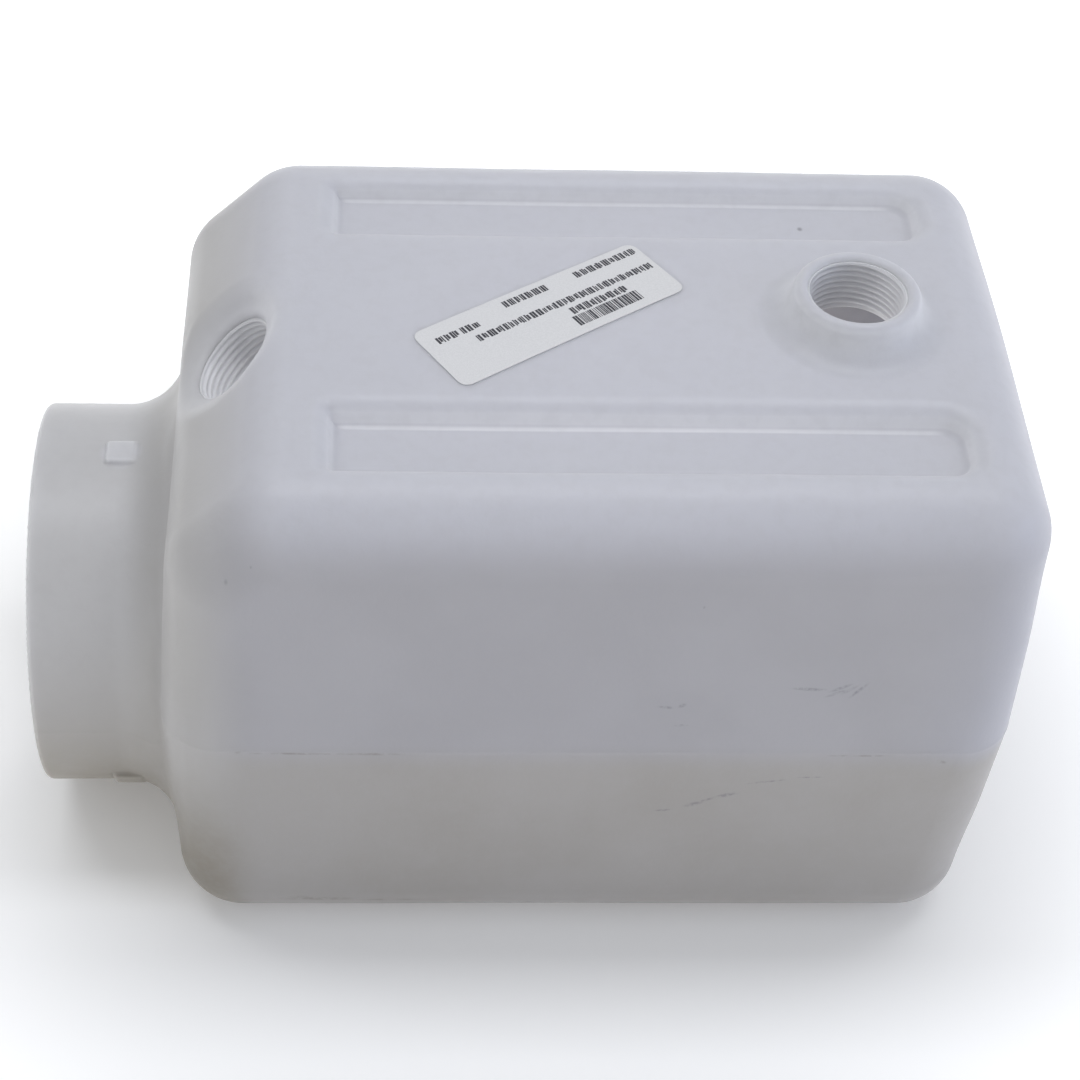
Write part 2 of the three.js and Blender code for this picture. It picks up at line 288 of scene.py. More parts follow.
def port_backing(x, y, z, centre, axis):
    """The thick ring of plastic that holds a port's sleeve."""
    rho, height = about_axis(x, y, z, centre, axis)
    middle = BACKING["depth"] / 2
    along = np.abs(height + middle) - middle - BACKING["margin"]
    return both(rho - BACKING["radius"], along, BACKING["round"])


def tank(x, y, z):
    """The whole moulding: the skin, less the cavity, the ports' holes and the sleeves' pockets."""
    cavity = plain_tank(x, y, z) + WALL
    for centre, axis in ((TOP_PORT, UP), (SHOULDER_PORT, SHOULDER_AXIS)):
        cavity = both(cavity, -port_backing(x, y, z, centre, axis), BACKING["fillet"])
    shell = both(outside(x, y, z), -cavity, MOUTH_EDGE)
    for centre, axis in ((TOP_PORT, UP), (SHOULDER_PORT, SHOULDER_AXIS)):
        shell = both(shell, -port_mouth(x, y, z, centre, axis), MOUTH["round"])
        shell = np.maximum(shell, -port_pocket(x, y, z, centre, axis))
    return shell


# ---- Meshing a field ----

def graded_axis(low, high, coarse, zones):
    """Grid positions from low to high, coarse apart, and finer in zones of (start, end, spacing)."""
    fine = np.linspace(low, high, 8000)
    spacing = np.full_like(fine, coarse)
    for start, end, step in zones:
        away = np.maximum(np.maximum(start - fine, fine - end), 0)
        spacing = np.minimum(spacing, step + away * 0.25)
    count = np.concatenate([[0], np.cumsum(np.diff(fine) / spacing[:-1])])
    return np.interp(np.linspace(0, count[-1], int(count[-1]) + 1), count, fine)


def mesh_field(field, axes):
    """Vertices and faces of a field's surface on a graded grid."""
    xs, ys, zs = axes
    grid_values = np.empty((len(xs), len(ys), len(zs)), np.float32)
    for i, x in enumerate(xs):
        grid_values[i] = field(x, ys[:, None], zs[None, :])
    band = 3.0
    np.clip(grid_values, -band, band, out=grid_values)
    grid = openvdb.FloatGrid(background=band)
    grid.copyFromArray(grid_values)
    points, triangles, quads = grid.convertToPolygons()
    places = [np.interp(points[:, i], np.arange(len(axis)), axis) for i, axis in enumerate(axes)]
    triangles = np.concatenate([triangles, quads[:, [0, 1, 2]], quads[:, [0, 2, 3]]])
    return np.stack(places, 1), triangles


def field_gradient(field, points, step=0.05):
    gradient = np.empty_like(points)
    for i in range(3):
        shift = np.zeros(3)
        shift[i] = step
        gradient[:, i] = (field(*(points + shift).T) - field(*(points - shift).T)) / (2 * step)
    return gradient


def move_onto(field, points, limit):
    """Newton steps onto the field's surface, each no longer than limit."""
    for _ in range(3):
        gradient = field_gradient(field, points)
        size = np.maximum((gradient ** 2).sum(1), 0.25)
        move = -field(*points.T)[:, None] * gradient / size[:, None]
        length = np.linalg.norm(move, axis=1)[:, None]
        points = points + move * np.minimum(1, limit / np.maximum(length, 1e-9))
    return points


def mesh_object(name, vertices, faces):
    """A smooth-shaded mesh object from millimetre vertices."""
    mesh = bpy.data.meshes.new(name)
    mesh.from_pydata((np.asarray(vertices) * MM).tolist(), [], np.asarray(faces).tolist())
    mesh.validate()
    mesh.shade_smooth()
    piece = bpy.data.objects.new(name, mesh)
    bpy.context.scene.collection.objects.link(piece)
    return piece


def coordinates(mesh):
    values = np.empty(len(mesh.vertices) * 3)
    mesh.vertices.foreach_get("co", values)
    return values.reshape(-1, 3)


def thin_out(piece, most_triangles):
    """Merges triangles where the surface is flat."""
    modifier = piece.modifiers.new("thin_out", "DECIMATE")
    modifier.ratio = most_triangles / len(piece.data.polygons)
    modifier.use_collapse_triangulate = True
    evaluated = piece.evaluated_get(bpy.context.evaluated_depsgraph_get())
    thinned = bpy.data.meshes.new_from_object(evaluated)
    piece.modifiers.clear()
    old = piece.data
    piece.data = thinned
    bpy.data.meshes.remove(old)
    thinned.name = piece.name


def make_tank():
    port_reach = 24.0
    axes = (
        graded_axis(RIM_X - 3, TANK_HIGH[0] + 3, 1.6, [
            (RIM_X - 1, RIM_X + 3, 0.6),
            (RIM_X + PAD["from_rim"] - 1, RIM_X + PAD["from_rim"] + 1, 0.5),
            (NECK_END_X - 14, NECK_END_X + 42, 0.9),
            (TOP_PORT[0] - port_reach, TOP_PORT[0] + port_reach, 0.8),
            (BASE_END_X - 25, BASE_END_X + 2, 0.8)]),
        graded_axis(-HALF_WIDTH - 3, HALF_WIDTH + 3, 1.6, [
            (-port_reach, port_reach, 0.8),
            (PANEL["inner"] - 2, PANEL["outer"] + 2, 0.9),
            (-PANEL["outer"] - 2, -PANEL["inner"] + 2, 0.9),
            (PANEL["outer"] - 5, PANEL["outer"] + 1, 0.4),
            (-PANEL["inner"] - 5, -PANEL["inner"] + 1, 0.4)]),
        graded_axis(-3, TANK_HIGH[2] + 3, 1.6, [
            (-1, 1, 0.8),
            (NECK["axis_z"] - 1, NECK["axis_z"] + 1, 0.5),
            (PARTING_Z - 1.6, PARTING_Z + 1.6, 0.4),
            (HEIGHT - 34, TANK_HIGH[2] + 1, 0.7),
            (HEIGHT - PANEL["depth"] - 0.5, HEIGHT + CROWN["rise"], 0.4)]),
    )
    points, faces = mesh_field(tank, axes)
    points = move_onto(tank, points, 0.6)
    piece = mesh_object("tank_skin", points, faces)
    thin_out(piece, MOST_TRIANGLES)
    points = move_onto(tank, coordinates(piece.data) / MM, 0.3)
    piece.data.vertices.foreach_set("co", (points * MM).ravel())
    normals = field_gradient(tank, points, 0.12)
    normals /= np.maximum(np.linalg.norm(normals, axis=1)[:, None], 1e-9)
    piece.data.shade_smooth()
    piece.data.normals_split_custom_set_from_vertices(normals.tolist())
    return piece


# ---- Threaded inserts ----

def thread_rings(angles):
    """The bore's radius at each angle, ring by ring from the mouth down, as (radius, height) pairs."""
    rings = []
    start = MOUTH["sleeve_depth"]
    end = INSERT["length"] - INSERT["bevel"]
    fade_from, fade_to = THREAD["run_out"]
    for depth in np.arange(start, end, THREAD["ring_step"]):
        turns = depth / THREAD["pitch"] + angles / (2 * np.pi)
        root = THREAD["major"] - (depth - start) * THREAD["taper"]
        crest = 0.5 + 0.5 * np.sin(2 * np.pi * turns)
        fade = smooth_step(depth, start, start + THREAD["run_in"])
        fade = fade * (1 - smooth_step(depth, end - fade_from, end - fade_to))
        rings.append((root - THREAD["height"] * crest * fade, -depth))
    return rings


def make_insert(name, centre, axis):
    """A sleeve with a right-handed helical thread, turned round its axis."""
    columns = 120
    angles = np.linspace(0, 2 * np.pi, columns, endpoint=False)
    rings = thread_rings(angles)
    rim = INSERT["radius"]
    length = INSERT["length"]
    bevel = INSERT["bevel"]
    gap = INSERT["clearance"]
    flange_low = -INSERT["flange_top"] - INSERT["flange_thickness"]
    top = rings[0][1]
    outline = [(rings[-1][0] + bevel, -length), (rim - bevel, -length), (rim, -length + bevel),
               (rim, flange_low), (INSERT["flange_radius"], flange_low),
               (INSERT["flange_radius"], -INSERT["flange_top"]), (rim, -INSERT["flange_top"]),
               (rim, top - gap), (rim - gap, top)]
    rings += [(np.broadcast_to(radius, columns), height) for radius, height in outline]
    vertices = []
    for radius, height in rings:
        vertices.append(np.stack([radius * np.cos(angles), radius * np.sin(angles),
                                  np.full(columns, height)], 1))
    turned = np.concatenate(vertices)
    side = np.cross([0, 1, 0], axis)
    placed = turned[:, :1] * side + turned[:, 1:2] * np.array([0, 1, 0]) + turned[:, 2:] * axis + centre
    faces = []
    for row in range(len(rings)):
        below = (row + 1) % len(rings)
        for column in range(columns):
            beside = (column + 1) % columns
            faces.append((row * columns + column, row * columns + beside,
                          below * columns + beside, below * columns + column))
    piece = mesh_object(name, placed, faces)
    piece.data.set_sharp_from_angle(angle=math.radians(50))
    return piece


# ---- Label ----

def label_place(u, v, lift):
    """A point of the label, u along it and v across it from its middle, laid on the tank's top."""
    low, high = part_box("label")
    middle = (low + high) / 2 / MM
    turn = math.radians(LABEL["turn"])
    x = middle[0] + u * math.cos(turn) - v * math.sin(turn)
    y = middle[1] + u * math.sin(turn) + v * math.cos(turn)
    z = HEIGHT + crown(y)
    for _ in range(4):
        z = z - plain_tank(x, y, z)
    return np.stack([x, y, z + lift], -1)


def closed_sheet(u, v, base, thickness):
    """Vertices and faces of a thin closed sheet on the tank's top."""
    rows, columns = u.shape
    under = label_place(u.ravel(), v.ravel(), base)
    over = under + [0, 0, thickness]
    count = rows * columns
    index = np.arange(count).reshape(rows, columns)
    faces = []
    for row in range(rows - 1):
        for column in range(columns - 1):
            a, b = index[row, column], index[row, column + 1]
            c, d = index[row + 1, column + 1], index[row + 1, column]
            faces += [(a + count, b + count, c + count, d + count), (d, c, b, a)]
    border = [*index[0, :], *index[1:, -1], *index[-1, -2::-1], *index[-2:0:-1, 0]]
    for a, b in zip(border, border[1:] + border[:1]):
        faces.append((a, b, b + count, a + count))
    return np.concatenate([under, over]), faces


def make_label():
    into = np.sin(np.linspace(-np.pi / 2, np.pi / 2, 25)) * LABEL["width"] / 2
    corner = LABEL["corner"]
    beyond = np.maximum(np.abs(into) - (LABEL["width"] / 2 - corner), 0)
    reach = LABEL["length"] / 2 - corner + np.sqrt(np.maximum(corner ** 2 - beyond ** 2, 0))
    u = np.linspace(-1, 1, 49)[None, :] * reach[:, None]
    v = np.repeat(into[:, None], 49, 1)
    vertices, faces = closed_sheet(u, v, LABEL["lift"], LABEL["thickness"])
    piece = mesh_object("label_sheet", vertices, faces)
    piece.data.set_sharp_from_angle(angle=math.radians(40))
    return piece


# Print rows: (start, end, middle height, tallest stroke), measured from the label's middle.
PRINT_ROWS = (
    (15.4, 36.4, 9.2, 2.9), (-9.3, 6.2, 9.2, 2.9), (-33.6, -26.8, 6.3, 2.9), (-25.6, -18.8, 6.3, 2.9),
    (-23.6, 35.9, 1.3, 2.9), (4.9, 23.9, -3.2, 3.1),
)
BAR_CODE = {"start": 3.4, "end": 25.9, "low": -9.6, "high": -5.3}


def print_strokes():
    """Meaningless upright strokes in rows, and a row of bars: (u, v, half width, half height)."""
    strokes = []
    for start, end, middle, tall in PRINT_ROWS:
        u = start
        while u < end - 1.2:
            for _ in range(RANDOM.integers(2, 4)):
                half = RANDOM.choice([0.2, 0.26, 0.36])
                height = tall * RANDOM.choice([0.34, 0.46, 0.46])
                sway = RANDOM.uniform(-0.6, 0.6) * (tall * 0.46 - height)
                strokes.append((u + half, middle + sway, half, height))
                u += 2 * half + 0.16
            u += 0.34
    u = BAR_CODE["start"]
    while u < BAR_CODE["end"]:
        half = RANDOM.choice([0.12, 0.12, 0.2, 0.34])
        strokes.append((u + half, (BAR_CODE["low"] + BAR_CODE["high"]) / 2, half,
                        (BAR_CODE["high"] - BAR_CODE["low"]) / 2))
        u += 2 * half + RANDOM.choice([0.16, 0.24, 0.4])
    return strokes


def make_print():
    """The strokes as thin raised slabs, sunk a little into the label."""
    base = LABEL["lift"] + LABEL["thickness"] - PRINT["sunk"]
    vertices = []
    faces = []
    start = 0
    for u, v, half_u, half_v in print_strokes():
        grid_u, grid_v = np.meshgrid([u - half_u, u + half_u], np.linspace(v - half_v, v + half_v, 3))
        patch, patch_faces = closed_sheet(grid_u, grid_v, base, PRINT["thickness"])
        vertices.append(patch)
        faces += [tuple(i + start for i in face) for face in patch_faces]
        start += len(patch)
    piece = mesh_object("label_print", np.concatenate(vertices), faces)
    piece.data.shade_flat()
    return piece


# ---- Materials ----

def new_material(name):
    material = bpy.data.materials.new(name)
    material.use_nodes = True
    nodes = material.node_tree.nodes
    return material, nodes, material.node_tree.links, nodes["Principled BSDF"]


def noise(nodes, links, place, scale, detail=3.0):
    node = nodes.new("ShaderNodeTexNoise")
    node.inputs["Scale"].default_value = scale
    node.inputs["Detail"].default_value = detail
    node.inputs["Roughness"].default_value = 0.55
    links.new(place, node.inputs["Vector"])
    return node.outputs["Fac"]


def ramp(nodes, links, value, stops):
    """A smooth map from one range of values to another: stops are ((in, out), (in, out))."""
    node = nodes.new("ShaderNodeMapRange")
    node.interpolation_type = "SMOOTHSTEP"
    (from_low, to_low), (from_high, to_high) = stops
    node.inputs["From Min"].default_value = from_low
    node.inputs["From Max"].default_value = from_high
    node.inputs["To Min"].default_value = to_low
    node.inputs["To Max"].default_value = to_high
    links.new(value, node.inputs["Value"])
    return node.outputs["Result"]


def ramp_mm(nodes, links, value, low, high):
    """A ramp over a length of the object: low and high are (millimetres, out)."""
    return ramp(nodes, links, value, ((low[0] * MM, low[1]), (high[0] * MM, high[1])))


def mixed(nodes, links, factor, first, second):
    """A colour between two colours or colour sockets."""
    node = nodes.new("ShaderNodeMix")
    node.data_type = "RGBA"
    links.new(factor, node.inputs["Factor"])
    for socket, value in ((node.inputs["A"], first), (node.inputs["B"], second)):
        if isinstance(value, tuple):
            socket.default_value = (*value, 1)
        else:
            links.new(value, socket)
    return node.outputs["Result"]


# Marks on the near wall: middle x and z, half length and half thickness in millimetres, and tilt in degrees.
SCUFFS = (
    (76.5, 111.0, 6.5, 0.55, 3), (85.0, 111.5, 4.5, 0.5, -28), (87.5, 110.8, 4.0, 0.45, -40),
    (84.0, 109.4, 4.0, 0.5, -26), (90.0, 110.5, 4.6, 0.5, -52), (38.0, 103.5, 3.0, 0.5, 8),
    (42.5, 104.2, 1.6, 0.6, -35), (43.0, 96.3, 2.6, 0.4, 0), (55.6, 65.0, 8.0, 0.45, -26),
    (50.0, 61.9, 3.8, 0.75, -22), (59.5, 66.3, 4.2, 0.7, -20), (41.5, 59.0, 3.4, 0.4, -8),
    (70.0, 72.4, 8.0, 0.35, -10), (82.0, 74.4, 5.0, 0.3, -2), (44.6, 141.5, 0.5, 0.5, 0),
    (-79.9, 147.4, 0.9, 0.9, 0), (-73.3, 153.0, 0.5, 0.5, 0),
)
# Dirt caught along the parting line and near the bottom edge, given the same way.
DIRT = (
    (-78.0, 84.6, 2.6, 0.6, 0), (-62.0, 84.4, 20.0, 0.45, 0), (-42.0, 84.4, 12.0, 0.5, 0),
    (94.0, 84.2, 12.0, 0.35, 0), (118.0, 81.5, 2.2, 0.6, 24), (-58.0, 14.8, 16.0, 1.0, 0),
    (-63.0, 15.3, 5.0, 1.4, 0), (-36.0, 14.0, 12.0, 0.7, 0), (95.0, 11.8, 10.0, 0.6, 0),
)

# The dark speck in the far panel.
SPECK = {"place": (82.4, 48.0, HEIGHT - PANEL["depth"]), "half_sizes": (1.1, 1.3, 1.5)}
# How strongly marks and the painted crease highlight show, and how deep into the wall and how wide past their
# half thickness the marks reach.
MARK = {"scuff": 0.45, "dirt": 0.4, "speck": 0.6, "crease_highlight": 0.3, "depth": 9.0, "spread": 1.6}
# How far light travels inside the plastic, in metres.
SCATTER = {"wall": 0.006, "port": 0.0015}
# Several of these tints paint light and shade into the colour: a lighter top, a bluer base end, a darker,
# warmer neck underside and flare, lighter steep walls, port and pad areas, and bright crease lines.
TINT = {
    "below_parting": (0.380, 0.364, 0.350), "above_parting": (0.405, 0.399, 0.420),
    "base_end_painted_blue_light": (0.43, 0.44, 0.50), "top": (0.555, 0.555, 0.59),
    "neck_low": (0.29, 0.26, 0.21), "neck_high": (0.54, 0.535, 0.54),
    "flare_low_painted_shade": (0.24, 0.215, 0.175), "flare_high_painted_shade": (0.41, 0.40, 0.39),
    "steep_wall_painted_light": (0.80, 0.80, 0.82), "crease_highlight": (0.92, 0.92, 0.93), "port_and_pad_painted_light": (0.66, 0.66, 0.69),
    "cloud": (0.55, 0.55, 0.58), "grain": (0.44, 0.43, 0.44),
    "scuff": (0.16, 0.16, 0.18), "dirt": (0.15, 0.13, 0.10),
}


def math_node(nodes, links, operation, first, second):
    node = nodes.new("ShaderNodeMath")
    node.operation = operation
    for socket, value in zip(node.inputs, (first, second)):
        if isinstance(value, (int, float)):
            socket.default_value = value
        else:
            links.new(value, socket)
    return node.outputs["Value"]


def spot(nodes, links, place, centre, half_sizes, tilt=0.0, solid=0.2):
    """1 round a place in the object, fading from solid times the half sizes to 0 at them; millimetres."""
    mapping = nodes.new("ShaderNodeMapping")
    mapping.vector_type = "TEXTURE"
    mapping.inputs["Location"].default_value = [value * MM for value in centre]
    mapping.inputs["Rotation"].default_value = (0, math.radians(tilt), 0)
    mapping.inputs["Scale"].default_value = [value * MM for value in half_sizes]
    links.new(place, mapping.inputs["Vector"])
    length = nodes.new("ShaderNodeVectorMath")
    length.operation = "LENGTH"
    links.new(mapping.outputs["Vector"], length.inputs[0])
    return ramp(nodes, links, length.outputs["Value"], ((solid, 1), (1, 0)))


def marks(nodes, links, place, rows):
    """All the marks of a list together, on the near wall."""
    total = 0.0
    for x, z, half_length, half_thickness, tilt in rows:
        half_sizes = (half_length, MARK["depth"], half_thickness * MARK["spread"])
        mark = spot(nodes, links, place, (x, -HALF_WIDTH, z), half_sizes, tilt)
        total = math_node(nodes, links, "MAXIMUM", mark, total)
    return total


def scaled(nodes, links, value, factor):
    return math_node(nodes, links, "MULTIPLY", value, factor)


def limited(nodes, links, mask, windows):
    """A mask cut off by windows, each a value and its (millimetres, out) at the start and the end."""
    for value, low, high in windows:
        mask = scaled(nodes, links, mask, ramp_mm(nodes, links, value, low, high))
    return mask


def wall_colour_with_painted_light(nodes, links, across, height):
    """The plastic's colour over the body, top, neck and flare, chosen to match the photograph, with light and
    shade painted in: a lighter top, a bluer base end, and a darker, warmer neck underside and flare. It is
    also darker and warmer below the parting line.
    """
    above = ramp_mm(nodes, links, height, (PARTING_Z - 9, 0), (PARTING_Z + 4, 1))
    colour = mixed(nodes, links, above, TINT["below_parting"], TINT["above_parting"])
    # Painted light: the base end is coloured bluer.
    base_end_painted_blue_light = ramp_mm(nodes, links, across, (BASE_END_X - 40, 0), (BASE_END_X, 0.5))
    colour = mixed(nodes, links, scaled(nodes, links, base_end_painted_blue_light, above), colour, TINT["base_end_painted_blue_light"])
    # Painted light: the top is coloured lighter.
    on_top = ramp_mm(nodes, links, height, (HEIGHT - 22, 0), (HEIGHT - 3, 1))
    past_shoulder = ramp_mm(nodes, links, across, (NECK_END_X + 18, 0.35), (NECK_END_X + 36, 1))
    colour = mixed(nodes, links, scaled(nodes, links, on_top, past_shoulder), colour, TINT["top"])

    # Painted shade: the neck is coloured darker and warmer towards its underside.
    up_neck = ramp_mm(nodes, links, height, (10, 0), (100, 1))
    neck_colour_with_painted_shade = mixed(nodes, links, up_neck, TINT["neck_low"], TINT["neck_high"])
    on_body = ramp_mm(nodes, links, across, (NECK_END_X + 4, 0), (NECK_END_X + 26, 1))
    colour = mixed(nodes, links, on_body, neck_colour_with_painted_shade, colour)
    # Painted shade: the flare between the neck and the body is coloured darker and warmer.
    flare_start = ramp_mm(nodes, links, across, (NECK_END_X - 14, 0), (NECK_END_X - 1, 0.9))
    flare_end = ramp_mm(nodes, links, across, (NECK_END_X + 4, 1), (NECK_END_X + 30, 0))
    flare_painted_shade = mixed(nodes, links, up_neck, TINT["flare_low_painted_shade"], TINT["flare_high_painted_shade"])
    return mixed(nodes, links, scaled(nodes, links, flare_start, flare_end), colour, flare_painted_shade)


def painted_light_on_steep_walls(nodes, links, across, sideways, height):
    """1 on the steep walls of the top, the panels' walls and the boss's side, where light is painted."""
    facing = nodes.new("ShaderNodeSeparateXYZ")
    links.new(nodes.new("ShaderNodeNewGeometry").outputs["Normal"], facing.inputs["Vector"])
    steep_painted_light = ramp(nodes, links, facing.outputs["Z"], ((0.2, 1), (0.97, 0)))
    return limited(nodes, links, steep_painted_light, (
        (height, (158, 0), (164, 1)),
        (sideways, (66, 1), (70, 0)),
        (across, (NECK_END_X + 30, 0), (NECK_END_X + 42, 1)),
        (across, (BASE_END_X - 19, 1), (BASE_END_X - 12, 0)),
    ))


def painted_crease_highlights(nodes, links, across, sideways, height):
    """1 along the foot of each long panel wall, where a thin highlight is painted."""
    crease_highlight = 0.0
    for foot in (PANEL["inner"] + PANEL["wall_run"] + 0.3, PANEL["outer"] - PANEL["wall_run"] - 0.3):
        off = math_node(nodes, links, "ABSOLUTE", math_node(nodes, links, "SUBTRACT", sideways, foot * MM), 0)
        line = ramp_mm(nodes, links, off, (0.2, 1), (0.9, 0))
        crease_highlight = math_node(nodes, links, "MAXIMUM", line, crease_highlight)
    start = NECK_END_X + PANEL["from_neck_end"]
    end = start + PANEL["length"]
    return limited(nodes, links, crease_highlight, (
        (height, (164, 0), (164.8, 1)),
        (height, (HEIGHT - 4, 1), (HEIGHT - 3, 0)),
        (across, (start + 3, 0), (start + 6, 1)),
        (across, (end - 12, 1), (end - 6, 0)),
    ))


def polyethylene_material():
    material, nodes, links, shader = new_material("polyethylene")
    place = nodes.new("ShaderNodeTexCoord").outputs["Object"]
    split = nodes.new("ShaderNodeSeparateXYZ")
    links.new(place, split.inputs["Vector"])
    across, height = split.outputs["X"], split.outputs["Z"]
    sideways = math_node(nodes, links, "ABSOLUTE", split.outputs["Y"], 0)
    colour = wall_colour_with_painted_light(nodes, links, across, height)

    # Painted light: these walls and lines are coloured lighter, as they look nearly as bright as the top in
    # the photograph.
    steep_painted_light = painted_light_on_steep_walls(nodes, links, across, sideways, height)
    colour = mixed(nodes, links, steep_painted_light, colour, TINT["steep_wall_painted_light"])
    crease_highlight = painted_crease_highlights(nodes, links, across, sideways, height)
    colour = mixed(nodes, links, scaled(nodes, links, crease_highlight, MARK["crease_highlight"]), colour, TINT["crease_highlight"])

    # Painted light: the plastic round the ports and the top pad is coloured lighter too, and light travels
    # less far in the ports.
    top_port = spot(nodes, links, place, TOP_PORT, (34, 34, 34), 0, 0.55)
    shoulder_port = spot(nodes, links, place, SHOULDER_PORT, (27, 27, 27), 0, 0.55)
    at_port = math_node(nodes, links, "MAXIMUM", top_port, shoulder_port)
    links.new(ramp(nodes, links, at_port, ((0, SCATTER["wall"]), (1, SCATTER["port"]))),
              shader.inputs["Subsurface Scale"])
    pad_middle = (RIM_X + PAD["from_rim"] + PAD["length"] / 2, 0, NECK["axis_z"] + NECK["radius"])
    pad = spot(nodes, links, place, pad_middle, (7, 7, 7), 0, 0.6)
    port_and_pad_painted_light = math_node(nodes, links, "MAXIMUM", scaled(nodes, links, top_port, 0.2),
                      scaled(nodes, links, shoulder_port, 0.45))
    port_and_pad_painted_light = math_node(nodes, links, "MAXIMUM", port_and_pad_painted_light, scaled(nodes, links, pad, 0.5))
    colour = mixed(nodes, links, port_and_pad_painted_light, colour, TINT["port_and_pad_painted_light"])

    cloud = ramp(nodes, links, noise(nodes, links, place, 22), ((0.35, 0), (0.65, 0.11)))
    colour = mixed(nodes, links, cloud, colour, TINT["cloud"])
    grain = ramp(nodes, links, noise(nodes, links, place, 260, 4), ((0.4, 0), (0.7, 0.10)))
    colour = mixed(nodes, links, grain, colour, TINT["grain"])

    broken = ramp(nodes, links, noise(nodes, links, place, 700, 3), ((0.34, 0.1), (0.62, 1)))
    scuffs = scaled(nodes, links, marks(nodes, links, place, SCUFFS), broken)
    colour = mixed(nodes, links, scaled(nodes, links, scuffs, MARK["scuff"]), colour, TINT["scuff"])
    patchy = ramp(nodes, links, noise(nodes, links, place, 330, 4), ((0.36, 0), (0.62, 1)))
    dirt = scaled(nodes, links, marks(nodes, links, place, DIRT), patchy)
    colour = mixed(nodes, links, scaled(nodes, links, dirt, MARK["dirt"]), colour, TINT["dirt"])
    speck = spot(nodes, links, place, SPECK["place"], SPECK["half_sizes"])
    colour = mixed(nodes, links, scaled(nodes, links, speck, MARK["speck"]), colour, TINT["scuff"])
    links.new(colour, shader.inputs["Base Color"])

    shader.inputs["Subsurface Weight"].default_value = 1.0
    shader.inputs["Subsurface Radius"].default_value = (1.0, 1.0, 1.0)
    shader.inputs["IOR"].default_value = 1.5
    shader.inputs["Specular IOR Level"].default_value = 0.32
    gloss = ramp(nodes, links, noise(nodes, links, place, 60), ((0.3, 0.36), (0.7, 0.43)))
    links.new(math_node(nodes, links, "ADD", gloss, scaled(nodes, links, scuffs, 0.3)),
              shader.inputs["Roughness"])
    bump = nodes.new("ShaderNodeBump")
    bump.inputs["Strength"].default_value = 0.10
    bump.inputs["Distance"].default_value = 0.0004
    links.new(noise(nodes, links, place, 700, 3), bump.inputs["Height"])
    links.new(bump.outputs["Normal"], shader.inputs["Normal"])
    return material


def insert_material():
    material, nodes, links, shader = new_material("insert_polyethylene")
    place = nodes.new("ShaderNodeTexCoord").outputs["Object"]
    cloud = ramp(nodes, links, noise(nodes, links, place, 120), ((0.35, 0), (0.65, 1)))
    colour = mixed(nodes, links, cloud, (0.66, 0.66, 0.68), (0.70, 0.70, 0.72))
    links.new(colour, shader.inputs["Base Color"])
    shader.inputs["Subsurface Weight"].default_value = 1.0
    shader.inputs["Subsurface Radius"].default_value = (1.0, 1.0, 1.0)
    shader.inputs["Subsurface Scale"].default_value = SCATTER["port"]
    shader.inputs["Roughness"].default_value = 0.42
    return material


def paper_material():
    material, nodes, links, shader = new_material("label_paper")
    place = nodes.new("ShaderNodeTexCoord").outputs["Object"]
    fibre = noise(nodes, links, place, 2500, 5)
    colour = mixed(nodes, links, ramp(nodes, links, fibre, ((0.3, 0), (0.7, 1))), (0.66, 0.655, 0.66),
                   (0.72, 0.715, 0.72))
    links.new(colour, shader.inputs["Base Color"])
    shader.inputs["Roughness"].default_value = 0.55
    bump = nodes.new("ShaderNodeBump")
    bump.inputs["Strength"].default_value = 0.1
    bump.inputs["Distance"].default_value = 0.0001
    links.new(fibre, bump.inputs["Height"])
    links.new(bump.outputs["Normal"], shader.inputs["Normal"])
    return material


def ink_material():
    material, nodes, links, shader = new_material("label_ink")
    place = nodes.new("ShaderNodeTexCoord").outputs["Object"]
    patchy = ramp(nodes, links, noise(nodes, links, place, 1800), ((0.3, 0), (0.7, 1)))
    colour = mixed(nodes, links, patchy, (0.02, 0.02, 0.03), (0.06, 0.06, 0.07))
    links.new(colour, shader.inputs["Base Color"])
    shader.inputs["Roughness"].default_value = 0.5
    return material


# ---- Stage ----

CAMERA = {"place": (-0.04276, -0.50503, 0.58092), "yaw": 0.0659, "pitch": 0.8178, "roll": 0.0538,
          "lens": 78.10, "shift": (0.06, 0.09)}
FLOOR = {"half": 40.0, "drop": 0.0002, "near": (0.13, 0.15), "far": (0.32, 0.60)}
DAYLIGHT = (0.95, 0.97, 1.0)


def make_camera():
    data = bpy.data.cameras.new("camera")
    camera = bpy.data.objects.new("camera", data)
    bpy.context.scene.collection.objects.link(camera)
    data.sensor_width = 36.0
    data.lens = CAMERA["lens"]
    data.shift_x, data.shift_y = CAMERA["shift"]
    data.clip_start, data.clip_end = 0.01, 20
    yaw, pitch, roll = CAMERA["yaw"], CAMERA["pitch"], CAMERA["roll"]
    forward = Vector((math.sin(yaw) * math.cos(pitch), math.cos(yaw) * math.cos(pitch), -math.sin(pitch)))
    right = Vector((math.cos(yaw), -math.sin(yaw), 0))
    up = right.cross(forward)
    turned_right = right * math.cos(roll) + up * math.sin(roll)
    turned_up = up * math.cos(roll) - right * math.sin(roll)
    rotation = Matrix((turned_right, turned_up, -forward)).transposed()
    camera.matrix_world = Matrix.Translation(CAMERA["place"]) @ rotation.to_4x4()
    bpy.context.scene.camera = camera


def area_light(name, place, target, size, power, colour):
    data = bpy.data.lights.new(name, "AREA")
    data.shape = "RECTANGLE"
    data.size, data.size_y = size
    data.energy = power
    data.color = colour
    light = bpy.data.objects.new(name, data)
    bpy.context.scene.collection.objects.link(light)
    light.location = place
    light.rotation_euler = (Vector(target) - Vector(place)).to_track_quat("-Z", "Y").to_euler()


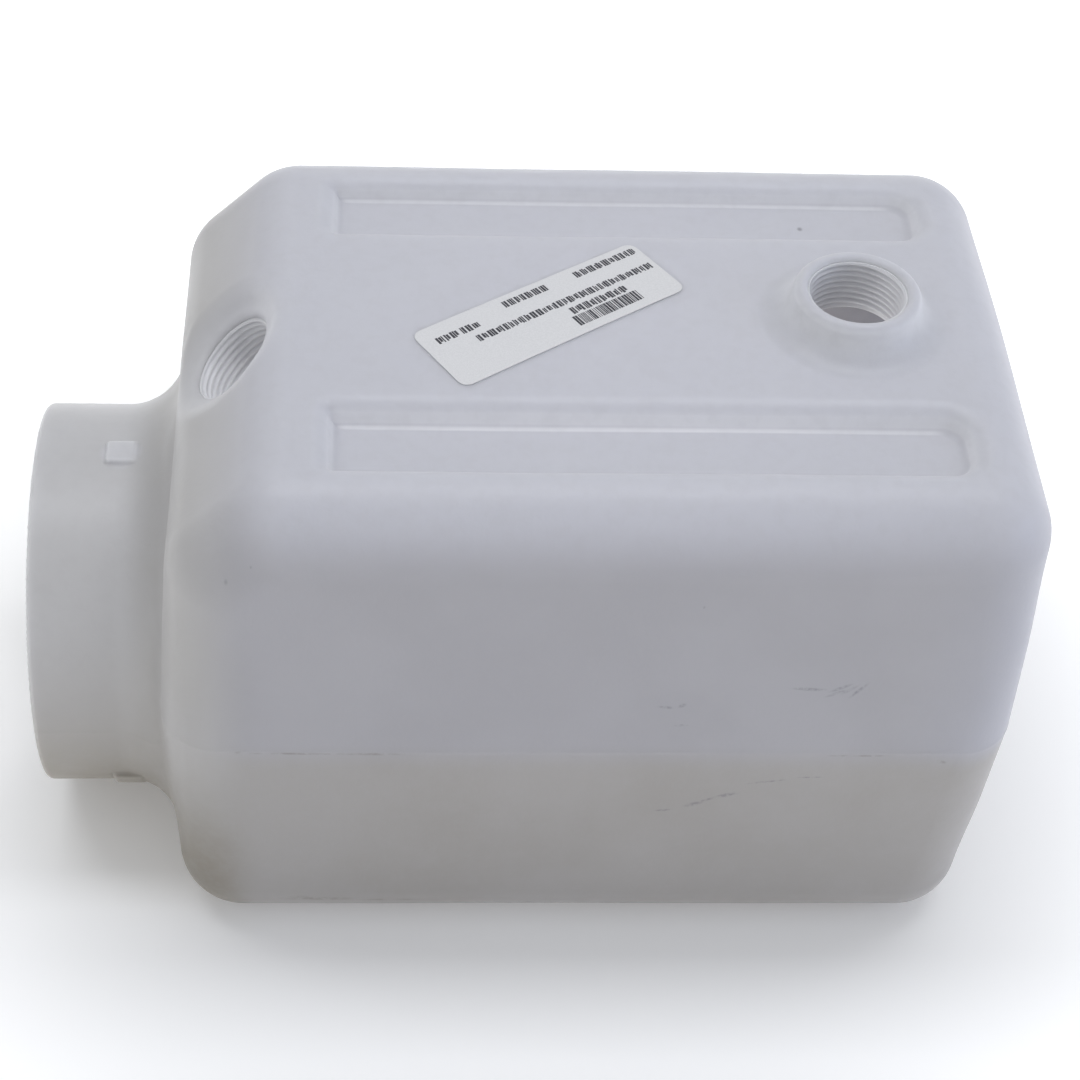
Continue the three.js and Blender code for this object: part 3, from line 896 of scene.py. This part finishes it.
def make_floor():
    """A pale floor just under the tank, which gives off light, and more of it away from the tank."""
    half, low = FLOOR["half"], -FLOOR["drop"]
    floor = bpy.data.meshes.new("floor")
    floor.from_pydata([(-half, -half, low), (half, -half, low), (half, half, low), (-half, half, low)],
                      [], [(0, 1, 2, 3)])
    piece = bpy.data.objects.new("floor", floor)
    bpy.context.scene.collection.objects.link(piece)
    material, nodes, links, shader = new_material("floor")
    shader.inputs["Base Color"].default_value = (0.90, 0.90, 0.90, 1)
    shader.inputs["Roughness"].default_value = 0.9
    shader.inputs["Emission Color"].default_value = (1.0, 0.99, 0.98, 1)
    away = nodes.new("ShaderNodeVectorMath")
    away.operation = "LENGTH"
    links.new(nodes.new("ShaderNodeTexCoord").outputs["Object"], away.inputs[0])
    links.new(ramp(nodes, links, away.outputs["Value"], (FLOOR["near"], FLOOR["far"])),
              shader.inputs["Emission Strength"])
    floor.materials.append(material)


def inside_glow(place, power, radius):
    """A soft lamp inside the tank, for the light that comes through its walls."""
    data = bpy.data.lights.new("glow", "POINT")
    data.energy = power
    data.shadow_soft_size = radius
    glow = bpy.data.objects.new("glow", data)
    glow.location = place
    glow.visible_camera = False
    bpy.context.scene.collection.objects.link(glow)


def make_stage():
    make_floor()
    world = bpy.data.worlds.new("studio")
    bpy.context.scene.world = world
    world.use_nodes = True
    background = world.node_tree.nodes["Background"]
    background.inputs["Color"].default_value = (*DAYLIGHT, 1)
    background.inputs["Strength"].default_value = 0.5
    middle = (0.0, 0.0, 0.09)
    area_light("key", (0.0, 0.15, 1.4), middle, (1.6, 0.30), 9.0, DAYLIGHT)
    area_light("window", (1.5, -0.5, 0.55), middle, (0.9, 0.9), 3.0, (0.5, 0.62, 1.0))
    inside_glow((0.02, 0, 0.08), 0.25, 0.05)
    scene = bpy.context.scene
    scene.view_settings.view_transform = "Standard"
    scene.view_settings.look = "None"
    scene.cycles.diffuse_bounces = 12


# ---- Assembly ----

make_camera()
make_stage()

POLYETHYLENE = polyethylene_material()
INSERT_PLASTIC = insert_material()
PIECES = (
    (make_tank(), "tank_shell", "polyethylene", POLYETHYLENE),
    (make_insert("top_port_sleeve", TOP_PORT, UP), "top_port_insert", "insert", INSERT_PLASTIC),
    (make_insert("shoulder_port_sleeve", SHOULDER_PORT, SHOULDER_AXIS), "shoulder_port_insert", "insert",
     INSERT_PLASTIC),
    (make_label(), "label", "paper", paper_material()),
    (make_print(), None, "paper", ink_material()),
)
for piece, node, slot, material in PIECES:
    piece.data.materials.append(material)
    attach(piece, "root")
    if node:
        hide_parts(node)
